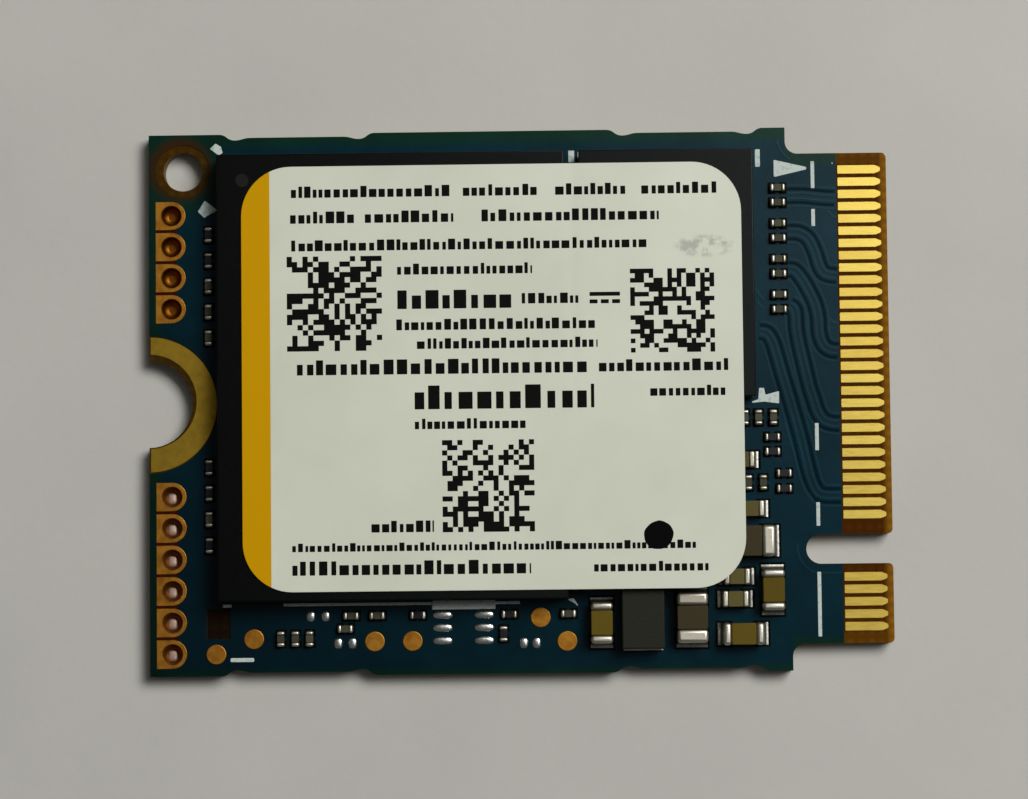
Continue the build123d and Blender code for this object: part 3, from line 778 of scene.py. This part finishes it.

# Solder: tin alloy that melted onto the pads. It stands as bright pillows on the empty pads, as
# hollow wedges up the chip ends, and as squeezed balls under the two packages. The lower column of
# plated holes holds a little too, dull, and tinted pink as a painted reflection of the copper round it.
solder_light = "E2E2DC"
solder_dull = "A3A49E"
fillet_light = "A6A59C"
fillet_dull = "77766E"
hole_pale = "C6B4A8"
hole_pink = "927464"
drop_margin = 0.1 * mm
drop_height = 0.08 * mm
hole_drop = (0.4 * mm, 0.48 * mm, 0.07 * mm)
hole_drop_place = (hole_offset - 0.05 * mm, -0.06 * mm, 0.34 * mm)
fillet_climb = [(1.0, 0.0), (0.62, 0.05), (0.36, 0.17), (0.18, 0.4), (0.06, 0.7), (0.0, 1.0)]
fillet_across = (-0.5, -0.46, 0.0, 0.46, 0.5)
ball_height = 0.25 * mm
ball_neck = 0.16 * mm
ball_belly = 0.06 * mm
ball_sides = 12

# Tin solder: bright and faintly frosted where it froze on the pads, darker and duller on the fillets up
# the chip ends, and dullest down in the holes.
skin = {"span": (0.45, 0.75), "dent": (0.3, 0.008), "Metallic": 1.0}
solder_shine = two_tone("reflowed_tin_solder", solder_light, solder_dull, 0.12, matt=(0.2, 0.36), **skin)[0]
fillet_solder = two_tone("fillet_tin_solder", fillet_light, fillet_dull, 0.12, matt=(0.34, 0.48), **skin)[0]
# Painted reflection: the pink of the hole solder stands for the copper walls round it.
hole_solder = two_tone("dull_solder_in_holes", hole_pale, hole_pink, 0.2, matt=(0.5, 0.65), Metallic=1.0)[0]


def pillow(name, length, width, height):
    """A drop of solder on a pad: round in plan, domed, with its foot on the pad."""
    shape = bmesh.new()
    rings, sides = 5, 20
    rows = []
    for i in range(rings):
        angle = quarter * i / rings
        row = []
        for j in range(sides):
            turn = math.tau * j / sides
            c, s = math.cos(turn), math.sin(turn)
            shrink = math.cos(angle) ** 0.8 * (abs(c) ** 3 + abs(s) ** 3) ** (-1 / 3)
            x, y = length / 2 * c * shrink, width / 2 * s * shrink
            row.append(shape.verts.new((x, y, height * math.sin(angle))))
        rows.append(row)
    bridge(shape, rows)
    crown = shape.verts.new((0, 0, height))
    for one, two in zip(rows[-1], rows[-1][1:] + rows[-1][:1]):
        shape.faces.new((one, two, crown))
    shape.faces.new(list(reversed(rows[0])))
    return mesh_of(name, shape)


places, sizes = [], []
for low, high, crown in solids_of("solder_bumps"):
    places.append(((low.x + high.x) / 2, (low.y + high.y) / 2, low.z, 0.0))
    sizes.append((high.x - low.x + drop_margin, high.y - low.y + drop_margin, drop_height))
drop = pillow("solder_drop", 1.0, 1.0, 1.0)
settle_copies("pad_solder", drop, places, solder_shine, ["solder_bumps"], 11, sizes, 70)

dx, dy, drop_foot = hole_drop_place
places = [(x + dx, y + dy, drop_foot, 0.0) for x, y, z, turn in hole_places if y < 0]
settle_copies("hole_solder", pillow("hole_drop", *hole_drop), places, hole_solder, [], 14, angle=70)

shape = bmesh.new()
rows = [[shape.verts.new((out - 0.5, side, up)) for out, up in fillet_climb] for side in fillet_across]
for one, two in zip(rows, rows[1:]):
    for i in range(len(fillet_climb) - 1):
        shape.faces.new((one[i], two[i], two[i + 1], one[i + 1]))
near, far = [shape.verts.new((-0.5, side, 0.0)) for side in (-0.5, 0.5)]
shape.faces.new([near] + rows[0])
shape.faces.new([far] + rows[-1][::-1])
shape.faces.new([near, far] + [row[0] for row in reversed(rows)])
shape.faces.new([far, near] + [row[-1] for row in rows])
places, sizes = [], []
for low, high, crown in solids_of("solder_fillets"):
    middle, size = (low + high) / 2, high - low
    away = middle - crown
    places.append((middle.x, middle.y, low.z, round(math.atan2(away.y, away.x) / quarter) * quarter))
    sizes.append(size if abs(away.x) > abs(away.y) else size.yxz)
wedge = mesh_of("solder_wedge", shape)
settle_copies("chip_fillets", wedge, places, fillet_solder, ["solder_fillets"], 12, sizes, 50)

shape = bmesh.new()
rows = []
for rise in (0.0, 0.2, 0.4, 0.6, 0.8, 1.0):
    reach = ball_neck + ball_belly * math.sin(math.pi * rise)
    circle = [math.tau * j / ball_sides for j in range(ball_sides)]
    spots = [(reach * math.cos(a), reach * math.sin(a), ball_height * rise) for a in circle]
    rows.append([shape.verts.new(spot) for spot in spots])
bridge(shape, rows)
shape.faces.new(list(reversed(rows[0])))
shape.faces.new(rows[-1])
ball = mesh_of("squeezed_ball", shape)
for name, node in (("flash_balls", "flash_solder_balls"), ("controller_balls", "controller_solder_balls")):
    settle_copies(name, ball, seats(node)[0], solder_shine, [node], 13, angle=50)

# Chip capacitors: fired ceramic bricks with a plated tin cap over each end, in four case sizes.
# They are soldered flat to the board, the large ones a darker ceramic than the rest.
ceramic_tan = "4F4004"
ceramic_pale = "58490C"
ceramic_brown = "2E2815"
ceramic_dusk = "372F1C"
ceramic_umber = "323325"
ceramic_soot = "464735"
ceramic_sand = "4C4520"
ceramic_ash = "554E28"
tin_bright = "CBC7BA"
tin_dull = "A39E8D"

# Fired ceramic: satin and finely speckled, each chip a little different in tone. The speckle is drawn
# coarser than the fired grain, so that it shows.
fired = {
    "span": (0.4, 1.5), "dent": (0.2, 0.004), "toned": True,
    "Roughness": 0.42, "Specular_IOR_Level": 0.12,
}
tan_ceramic = two_tone("fired_ceramic_tan", ceramic_tan, ceramic_pale, 0.05, **fired)[0]
brown_ceramic = two_tone("fired_ceramic_brown", ceramic_brown, ceramic_dusk, 0.05, **fired)[0]
sand_ceramic = two_tone("fired_ceramic_sand", ceramic_sand, ceramic_ash, 0.05, **fired)[0]
umber_ceramic = two_tone("fired_ceramic_umber", ceramic_umber, ceramic_soot, 0.05, **fired)[0]

# Matt tin: plated over the end caps, satin and slightly yellow, with fine pits that are drawn coarser
# than they are, so that they show.
matt_tin = two_tone(
    "matt_tin_plating", tin_bright, tin_dull, 0.06, (0.4, 1.5),
    matt=(0.36, 0.52), dent=(0.3, 0.006), toned=True, Metallic=1.0,
)[0]


def settle_blocks(name, node, finish, seed, corner_mm, steps):
    """Settle one piece with a block in the place of each solid of a CAD node, all its edges rounded."""
    places, size = seats(node)
    shape = bmesh.new()
    middle = Matrix.Translation((0, 0, size.z / 2)) @ Matrix.Diagonal((*size, 1))
    bmesh.ops.create_cube(shape, size=1.0, matrix=middle)
    rounding = {"offset": corner_mm * mm, "segments": steps, "profile": 0.5}
    bmesh.ops.bevel(shape, geom=shape.edges[:], affect="EDGES", clamp_overlap=True, **rounding)
    block = mesh_of(name + "_block", shape)
    smooth_by_angle(block, degrees=60)
    settle_copies(name, block, places, finish, [node], seed)


for case, ceramic, slot, corner_mm, cap_corner_mm in (
    ("large", brown_ceramic, "grey_ceramic", 0.03, 0.15),
    ("medium", tan_ceramic, "tan_ceramic", 0.03, 0.14),
    ("small", sand_ceramic, "tan_ceramic", 0.02, 0.08),
    ("tiny", umber_ceramic, "tan_ceramic", 0.012, 0.082),
):
    settle_blocks(case + "_ceramics", case + "_capacitor_bodies", ceramic, 21, corner_mm, 2)
    settle_blocks(case + "_caps", case + "_capacitor_ends", matt_tin, 22, cap_corner_mm, 4)

# Mask openings: round every soldered end the mask stops a little short of the joint. It leaves a rim of
# bare laminate there, painted near black: partly the dark laminate, partly painted shade round the parts.
opening_painted_shade_black = "060604"
opening_room = 0.075 * mm
opening_corner = 0.04 * mm
openings = []
for node in (
    "large_capacitor_ends",
    "medium_capacitor_ends",
    "small_capacitor_ends",
    "tiny_capacitor_ends",
    "resistor_ends",
    "solder_fillets",
):
    for low, high, crown in solids_of(node):
        openings.append((*(c - opening_room for c in low.xy), *(c + opening_room for c in high.xy)))
joined = []
while openings:
    one = openings.pop()
    meeting = [b for b in openings if b[0] < one[2] and b[2] > one[0] and b[1] < one[3] and b[3] > one[1]]
    if meeting:
        two = meeting[0]
        openings.remove(two)
        openings.append((min(one[0], two[0]), min(one[1], two[1]), max(one[2], two[2]), max(one[3], two[3])))
    else:
        joined.append(one)
shape = bmesh.new()
for x0, y0, x1, y1 in joined:
    corners = [(x, y, opening_corner) for x, y in ((x0, y0), (x1, y0), (x1, y1), (x0, y1))]
    plate(shape, rounded(corners, 3), bare_levels)
opening_laminate_with_shade = bare_epoxy("dark_opening_epoxy_painted_shade", opening_painted_shade_black, opening_painted_shade_black)
settle("mask_openings", mesh_of("mask_openings", shape), opening_laminate_with_shade, [])

# Chip resistors: a small alumina tile that carries a printed film under a black glass coat, with
# plated tin ends. They are soldered flat beside the capacitors, like them but lower and darker.
coat_black = "0D0E11"
coat_grey = "1C1D20"

# Black glass: printed and fired on, smooth and half glossy, faintly clouded.
coat = {"Roughness": 0.3, "Specular_IOR_Level": 0.3}
glass_coat = two_tone("black_glass_coat", coat_black, coat_grey, 0.08, **coat)[0]
settle_blocks("resistor_tiles", "resistor_bodies", glass_coat, 23, 0.012, 2)
settle_blocks("resistor_caps", "resistor_ends", matt_tin, 24, 0.082, 4)

# Power inductor: a block of iron powder pressed round a coil, dark and matt, with two tin tabs bent
# under it that are soldered to the board.
powder_dark = "1B1C15"
powder_light = "26271F"

# Pressed iron powder: grains of iron in resin, dark grey, matt and finely pitted.
iron_powder = two_tone(
    "pressed_iron_powder", powder_dark, powder_light, 0.06, (0.35, 0.7), dent=(0.5, 0.01),
    Roughness=0.6, Specular_IOR_Level=0.1,
)[0]


def coat_node(node, finish):
    """Give a finish to a CAD node that is shown as it is."""
    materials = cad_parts[node].data.materials
    materials.clear()
    materials.append(finish)


settle_blocks("pressed_core", "inductor_core", iron_powder, 25, 0.06, 3)
coat_node("inductor_terminals", matt_tin)

# Packages: two are a sawn laminate on solder balls with black epoxy moulded over it, matt and with
# edges softened by the mould. The flash package carries a shallow pin mark. The small regulator under
# the label is moulded of the same epoxy, over flat soldered leads.
epoxy_black = "020302"
epoxy_grain_and_sheen_grey = "0D1311"
pin_grey = "2A2620"
sawn_green = "10180F"
sawn_brown = "241C0E"
pin_radius = 0.3 * mm
pin_centre = (-11.05 * mm, 8.95 * mm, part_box("flash_mold_cap")[1].z)
package_ends = (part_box("flash_mold_cap")[0].x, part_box("controller_mold_cap")[1].x)
mould_edge = 0.05 * mm

# Moulding epoxy: black and finely grained, and painted greyer towards the contacts as painted sheen
# from the lamps on that side.
moulding, put, shader, place = new_finish("black_moulding_epoxy", Specular_IOR_Level=0.11)
speck = put("TexNoise", Vector=place, Scale=grain(0.04), Detail=4.0)
along = put("SeparateXYZ", place)
# Painted sheen: the grey share rises from the flash's left end to the controller's right end.
run = put("MapRange", along, package_ends[0], package_ends[1], -0.15, 0.75)
share = put("Math", speck, 0.4, run, operation="MULTIPLY_ADD")
feed(shader, Base_Color=put("Mix", share, linear(epoxy_black), linear(epoxy_grain_and_sheen_grey), data_type="RGBA"))
pin_far = put("VectorMath", place, pin_centre, operation="DISTANCE")
pin_share = put("MapRange", pin_far, pin_radius, 0.85 * pin_radius, 0.0, 0.5)
lay_over(put, shader, pin_share, pin_grey)
roughen(put, shader, speck, dent=(0.4, 0.006), matt=(0.28, 0.38))

# Sawn laminate: the package's own little board, dull dark green with brown layers at the cut.
sawn_laminate, put, shader, place = new_finish("sawn_package_laminate", Roughness=0.6, Specular_IOR_Level=0.2)
layers = put("TexWave", Vector=place, Scale=bands(0.09), Distortion=0.5, bands_direction="Z")
ply = layers.node.outputs["Fac"]
feed(shader, Base_Color=put("Mix", ply, linear(sawn_green), linear(sawn_brown), data_type="RGBA"))
for node in ("flash_substrate", "controller_substrate"):
    coat_node(node, sawn_laminate)

for name, node in (
    ("flash_moulding", "flash_mold_cap"),
    ("controller_moulding", "controller_mold_cap"),
    ("regulator_moulding", "regulator_chip"),
):
    shape = merged_copy(node)
    bmesh.ops.dissolve_limit(shape, angle_limit=0.01, verts=shape.verts, edges=shape.edges)
    low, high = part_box(node)
    rim = []
    for edge in shape.edges:
        ends = [vert.co for vert in edge.verts]
        room = max(min(co.x - low.x, high.x - co.x, co.y - low.y, high.y - co.y) for co in ends)
        at_top = max(co.z for co in ends) > high.z - touching
        if room < touching and at_top and len(edge.link_faces) == 2 and edge.calc_face_angle() > 1.0:
            rim.append(edge)
    rounding = {"offset": mould_edge, "segments": 3, "profile": 0.5}
    bmesh.ops.bevel(shape, geom=rim, affect="EDGES", clamp_overlap=True, **rounding)
    settle(name, mesh_of(name, shape), moulding, [node], 40)
coat_node("regulator_leads", solder_shine)

# Label: a satin film about 0.1 mm thick, stuck across both packages, with a printed yellow band at
# its left. It dips a little over the gap between the packages and sags where nothing holds it up.
film_white = "C8CAB8"
film_grey = "C0C2B0"
film_yellow = "BE8D00"
film_rub = "8C8D84"
film_fibre_mm = 0.09
label_low, label_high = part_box("label")
film_top = label_high.z - 0.006 * mm
film_corner = 2.0 * mm
film_edge = 0.012 * mm
film_step = 0.4 * mm
band_end = -9.95 * mm
flash_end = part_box("flash_mold_cap")[1].x
gap_middle = (flash_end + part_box("controller_mold_cap")[0].x) / 2
gap_width = 0.25 * mm
held_over = 1.5 * mm
dip = 0.006 * mm
sag = 0.045 * mm
sag_reach = 7 * mm
rub_centre = (7.5 * mm, 6.05 * mm, label_high.z)
rub_reach = (1.35 * mm, 0.5 * mm)


def film_drop(x, y):
    """How far the label lies below its flat height at a point."""
    held = min(max(y / held_over, 0.0), 1.0)
    drop = dip * held * math.exp(-(((x - gap_middle) / gap_width) ** 2))
    free = min(x - flash_end, -y)
    return drop + (sag * (free / sag_reach) ** 2 if free > 0 else 0.0)


def follow_film(shape):
    """Cut a flat layer across at close steps and lower each vertex by the label's dip and sag there."""
    for axis in (0, 1):
        start, stop = label_low[axis], label_high[axis]
        cuts = [start + film_step * i for i in range(1, int((stop - start) / film_step))]
        if axis == 0:
            cuts += [band_end] + [gap_middle + film_step * i / 4 for i in range(-6, 7)]
        for cut in cuts:
            point, normal = Vector(), Vector()
            point[axis], normal[axis] = cut, 1.0
            everything = shape.verts[:] + shape.edges[:] + shape.faces[:]
            bmesh.ops.bisect_plane(shape, geom=everything, plane_co=point, plane_no=normal, dist=weld_reach)
    for vert in shape.verts:
        vert.co.z -= film_drop(vert.co.x, vert.co.y)


# Label film: satin white over a faint fibre, clouded a little, with a grey rub at its upper right. The
# fibre is drawn coarser than it is, so that it shows.
film = {"matt": (0.4, 0.5), "dent": (0.25, 0.006)}
label_film, put, shader, place = two_tone(
    "satin_label_film", film_white, film_grey, 4.0, (0.35, 0.7), film_fibre_mm, Specular_IOR_Level=0.6, **film
)
rub_place = put("VectorMath", place, rub_centre, operation="SUBTRACT")
rub_scale = (1 / rub_reach[0], 1 / rub_reach[1], 0.0)
rub_share = put("VectorMath", rub_place, rub_scale, operation="MULTIPLY")
rub_far = put("VectorMath", rub_share, operation="LENGTH")
rub_edge = put("MapRange", rub_far, 1.05, 0.6, interpolation_type="SMOOTHSTEP")
rub_noise = put("TexNoise", Vector=place, Scale=grain(0.3), Detail=4.0)
rub_patch = put("MapRange", rub_noise, 0.42, 0.62, 0.0, 0.7)
rub = put("Math", rub_edge, rub_patch, operation="MULTIPLY")
lay_over(put, shader, rub, film_rub)

# Yellow print: the same film under a flat coat of ink, so it is duller than the bare film.
band_print, put, shader, place = new_finish(
    "yellow_band_print", Base_Color=linear(film_yellow), Specular_IOR_Level=0.05
)
fibre = put("TexNoise", Vector=place, Scale=grain(film_fibre_mm), Detail=4.0)
roughen(put, shader, fibre, **film)

label_corners = [(label_low.x, label_low.y), (label_high.x, label_low.y)]
label_corners += [(label_high.x, label_high.y), (label_low.x, label_high.y)]
outline = rounded([(x, y, film_corner) for x, y in label_corners], 14)
shape = bmesh.new()
plate(shape, outline, [(0, label_low.z), (0, film_top - film_edge), (film_edge, film_top)])
follow_film(shape)
for face in shape.faces:
    face.material_index = 1 if face.calc_center_median().x < band_end else 0
mesh = mesh_of("label_sheet", shape)
for finish in (label_film, band_print):
    mesh.materials.append(finish)
settle("label_sheet", mesh, None, ["label"], 30)

# Label print: thermal black ink. Rows of plain blocks and squares of random cells stand where the
# label is printed, and a dab of black marker ink lies near its lower right corner.
ink_black = "050505"
ink_faded = "0E0E0C"
marker_black = "020202"
marker_sheen = "060607"
ink_sink = 0.002 * mm
ink_top = label_high.z - 0.002 * mm
ink_corner_mm = 0.02
least_block_mm = 0.05
cell_count = 18
cell_blank_share = 0.46
dab_place_mm = (5.52, -5.52)
dab_radius_mm = 0.585
dab_sides = 64
dab_edge = 0.02 * mm
dab_top = label_high.z - 0.001 * mm
thermal_ink = two_tone(
    "thermal_black_ink", ink_black, ink_faded, 0.12, Roughness=0.55, Specular_IOR_Level=0.04
)[0]
marker_ink = two_tone(
    "marker_ink_dab", marker_black, marker_sheen, 0.3, Roughness=0.5, Specular_IOR_Level=0.03
)[0]
print_rows = [
    (8.41, 0.46, [(-9.08, -2.7), (-2.16, 0.81), (1.55, 4.42), (5.01, 8.02)]),
    (7.38, 0.48, [(-9.12, -6.55), (-6.11, -2.55), (-1.42, 5.7)]),
    (6.24, 0.44, [(-9.08, 5.23)]),
    (5.25, 0.44, [(-4.83, 0.59)]),
    (4.02, 0.75, [(-4.83, -0.15)]),
    (4.02, 0.42, [(0.16, 2.43)]),
    (3.01, 0.44, [(-4.88, 3.08)]),
    (2.24, 0.42, [(-4.06, 3.18)]),
    (1.32, 0.6, [(-8.88, 2.83)]),
    (1.28, 0.48, [(3.22, 8.39)]),
    (0.25, 0.42, [(5.26, 8.35)]),
    (0.08, 0.95, [(-4.17, 3.02)]),
    (-0.98, 0.42, [(-4.17, 0.26)]),
    (-5.07, 0.46, [(-5.94, -3.44)]),
    (-5.88, 0.34, [(-9.11, 7.1)]),
    (-6.71, 0.56, [(-9.11, 0.42)]),
    (-6.75, 0.4, [(2.93, 7.57)]),
]
dashes = [(2.88, 4.08, 4.1, 4.24), (2.88, 3.78, 3.2, 3.94), (3.33, 3.78, 3.65, 3.94), (3.78, 3.78, 4.1, 3.94)]
cell_squares = [(-9.27, -5.45, 1.99, 5.8), (4.51, 7.88, 1.79, 5.15), (-3.09, 0.59, -5.37, -1.59)]

blocks = []
chance = random.Random(7)
for middle, height, spans in print_rows:
    for start, stop in spans:
        x, foot = start, middle - height / 2
        while x < stop - least_block_mm:
            width = min(height * chance.uniform(0.3, 0.75), stop - x)
            tall = height * chance.choice((0.72, 0.72, 1.0))
            blocks.append((x, foot, x + width, foot + tall))
            x += width + height * chance.uniform(0.16, 0.3)
shape = bmesh.new()
for block in blocks + dashes:
    plate(shape, bar(*block, ink_corner_mm), [(0, film_top - ink_sink), (0, ink_top)])
follow_film(shape)
settle("print_rows", mesh_of("print_rows", shape), thermal_ink, [])

cell_inputs = {"Side": "Float", "Cells": "Int", "Place": "Vector", "Thick": "Float"}
cell_inputs |= {"Share": "Float", "Seed": "Int", "Finish": "Material"}
cell_tree, cell_keys, given, result = new_tree("random_cells", cell_inputs)
posts = add_node(cell_tree, "Math", given["Cells"], 1.0, operation="ADD")
sides = {"Size_X": given["Side"], "Size_Y": given["Side"], "Vertices_X": posts, "Vertices_Y": posts}
sheet = add_node(cell_tree, "GeometryNodeMeshGrid", **sides)
odds = {"Probability": given["Share"], "Seed": given["Seed"]}
blank = add_node(cell_tree, "FunctionNodeRandomValue", **odds, data_type="BOOLEAN")
kept = add_node(cell_tree, "GeometryNodeDeleteGeometry", Geometry=sheet, Selection=blank, domain="FACE")
lift = {"Mesh": kept, "Offset_Scale": given["Thick"], "Individual": False}
raised = add_node(cell_tree, "GeometryNodeExtrudeMesh", **lift)
moved = add_node(cell_tree, "GeometryNodeTransform", Geometry=raised, Translation=given["Place"])
hand_out(cell_tree, moved, given["Finish"], result)
for number, (x0, x1, y0, y1) in enumerate(cell_squares):
    values = {
        "Side": (x1 - x0) * mm,
        "Cells": cell_count,
        "Place": ((x0 + x1) / 2 * mm, (y0 + y1) / 2 * mm, film_top),
        "Thick": ink_top - film_top,
        "Share": cell_blank_share,
        "Seed": 31 + number,
        "Finish": thermal_ink,
    }
    mesh = grown(bpy.data.objects.new("cells", bpy.data.meshes.new("cells")), cell_tree, cell_keys, values)
    settle("cell_square_%d" % (number + 1), mesh, thermal_ink, [])

edge = []
for i in range(dab_sides):
    angle = math.tau * i / dab_sides
    wobble = 0.03 * math.sin(2 * angle + 0.6) + 0.012 * math.sin(5 * angle) + 0.008 * math.sin(9 * angle + 1)
    reach = dab_radius_mm * (1 + wobble)
    x, y = dab_place_mm[0] + reach * math.cos(angle), dab_place_mm[1] + reach * math.sin(angle)
    edge.append((x * mm, y * mm))
shape = bmesh.new()
plate(shape, edge, [(0, film_top - ink_sink), (dab_edge, dab_top)])
follow_film(shape)
settle("marker_dab", mesh_of("marker_dab", shape), marker_ink, [])

# The stage: a plain pale floor of fine plaster that the card lies on. A broad window at the upper right
# and a fainter ceiling panel light it softly in an even surround, and the camera looks nearly straight
# down.
floor_colour = "B1AFA8"
floor_span = 2.0
floor_z = -0.004 * mm
surround = (1.0, 0.99, 0.97, 1.0)
surround_strength = 0.08
lamp_reach = 0.38
photo_width = 1028
focal_pixels = 2970
camera_place = Vector((1.55040267, -7.65552104, 120.76211486)) * mm
camera_ahead = Vector((-0.01467271, 0.06406344, -0.99783796))
camera_above = Vector((0.01171456, 0.99788791, 0.06389439))
floor_finish, put, shader, place = new_finish("pale_plaster_floor", Roughness=0.85)
tint = put("TexNoise", Vector=place, Scale=grain(9.0), Detail=4.0)
pale = put("MapRange", tint, 0.3, 0.7, 0.965, 1.03)
wash = put("VectorMath", linear(floor_colour)[:3], pale, operation="MULTIPLY")
feed(shader, Base_Color=wash)
pore = put("TexNoise", Vector=place, Scale=grain(0.5), Detail=4.0)
roughen(put, shader, pore, (0.3, 0.04))
floor_mesh = bpy.data.meshes.new("floor")
corners = [(x * floor_span, y * floor_span, floor_z) for x, y in ((-1, -1), (1, -1), (1, 1), (-1, 1))]
floor_mesh.from_pydata(corners, [], [(0, 1, 2, 3)])
floor_mesh.materials.append(floor_finish)
floor = bpy.data.objects.new("floor", floor_mesh)
bpy.context.scene.collection.objects.link(floor)

world = bpy.data.worlds.new("even_surround")
world.use_nodes = True
world.node_tree.nodes["Background"].inputs["Color"].default_value = surround
world.node_tree.nodes["Background"].inputs["Strength"].default_value = surround_strength
bpy.context.scene.world = world

for name, toward, wide, deep, energy in (
    ("key_window", (0.458, 0.353, 0.794), 0.54, 0.4, 9.6),
    ("ceiling_panel", (0.475, 0.49, 1.0), 0.84, 0.84, 2.3),
):
    lamp = bpy.data.lights.new(name, "AREA")
    lamp.shape = "RECTANGLE"
    lamp.size, lamp.size_y, lamp.energy = wide * lamp_reach, deep * lamp_reach, energy * lamp_reach**2
    holder = bpy.data.objects.new(name, lamp)
    holder.location = Vector(toward) * lamp_reach
    if name == "key_window":
        holder.rotation_euler = (-Vector(toward)).to_track_quat("-Z", "Y").to_euler()
    bpy.context.scene.collection.objects.link(holder)

view = bpy.data.cameras.new("camera")
view.sensor_width = 36.0
view.lens = focal_pixels / photo_width * view.sensor_width
view.clip_start = 0.005
camera = bpy.data.objects.new("camera", view)
turned = Matrix((camera_ahead.cross(camera_above), camera_above, -camera_ahead)).transposed().to_4x4()
camera.matrix_world = Matrix.Translation(camera_place) @ turned
bpy.context.scene.collection.objects.link(camera)
bpy.context.scene.camera = camera
